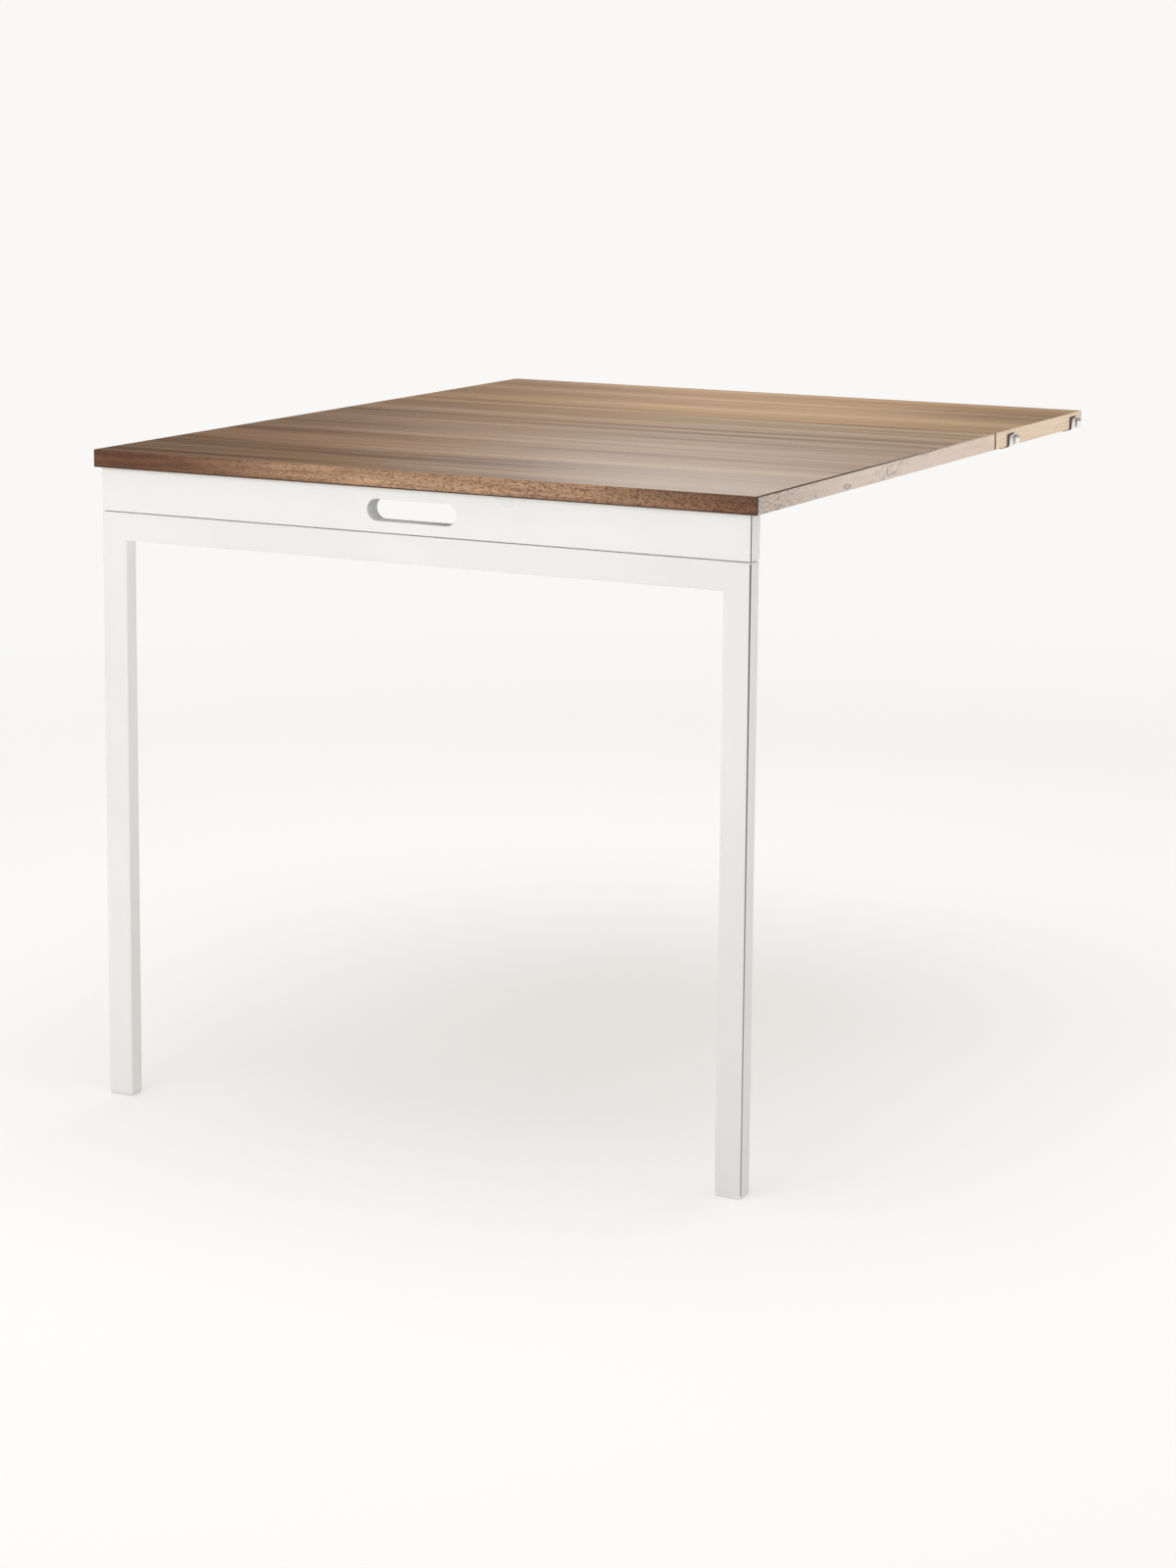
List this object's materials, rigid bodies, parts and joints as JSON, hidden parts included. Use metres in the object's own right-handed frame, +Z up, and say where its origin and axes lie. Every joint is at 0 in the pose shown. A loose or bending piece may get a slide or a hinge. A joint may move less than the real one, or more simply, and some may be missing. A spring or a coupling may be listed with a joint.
{
  "type": "drop leaf table",
  "caption": "Wall-hung table with a fixed shelf on hooks, a drop leaf and a folding leg frame under its front edge.",
  "frame": {"origin": "middle of the four hooks, at the height of the centre of the rungs that they hang on", "axes": "+X to the right seen from the front, +Y towards the wall, +Z up"},
  "size_m": [0.795, 0.96, 0.7151],
  "materials": {
    "walnut": "satin",
    "white_lacquer": "satin",
    "white_tube": "satin",
    "bright_hook": "polished",
    "glide_plastic": "matte",
    "rubber_pad": "matte",
    "beech": "matte",
    "screw_steel": "satin",
    "pin_steel": "satin",
    "zinc_plate": "satin"
  },
  "bodies": {
    "shelf": {"shelf_board": "walnut", "hook_front_left": "bright_hook", "hook_front_right": "bright_hook", "hook_rear_left": "bright_hook", "hook_rear_right": "bright_hook", "hook_screws": "screw_steel", "leaf_hinge_left_shelf_plate": "zinc_plate", "leaf_hinge_left_pin": "pin_steel", "leaf_hinge_right_shelf_plate": "zinc_plate", "leaf_hinge_right_pin": "pin_steel", "shelf_plate_screws": "screw_steel"},
    "leaf": {"leaf_board": "walnut", "leaf_hinge_left_leaf_plate": "zinc_plate", "leaf_hinge_right_leaf_plate": "zinc_plate", "leaf_plate_screws": "screw_steel", "apron": "white_lacquer", "apron_dowels": "beech", "apron_angle_1": "zinc_plate", "apron_angle_2": "zinc_plate", "apron_angle_3": "zinc_plate", "apron_angle_4": "zinc_plate", "apron_angle_screws": "screw_steel", "pivot_bracket_left": "zinc_plate", "pivot_bracket_right": "zinc_plate", "pivot_bracket_screws": "screw_steel", "bumper_pads": "rubber_pad", "leg_rest_pads": "rubber_pad"},
    "leg_frame": {"crossbar": "white_tube", "leg_left": "white_tube", "leg_right": "white_tube", "glide_left": "glide_plastic", "glide_right": "glide_plastic", "frame_bracket_left": "zinc_plate", "frame_bracket_right": "zinc_plate", "frame_rivets": "pin_steel", "pivot_pin_left": "pin_steel", "pivot_pin_right": "pin_steel"}
  },
  "joints": [
    {"name": "leaf_hinge", "type": "hinge", "parent": "shelf", "child": "leaf", "pos_m": [0, -0.1615, -0.0126], "axis": [1, 0, 0], "range_deg": [0, 90]},
    {"name": "leg_pivot", "type": "hinge", "parent": "leaf", "child": "leg_frame", "pos_m": [0, -0.7915, -0.07355], "axis": [1, 0, 0], "range_deg": [0, 96.2]}
  ]
}
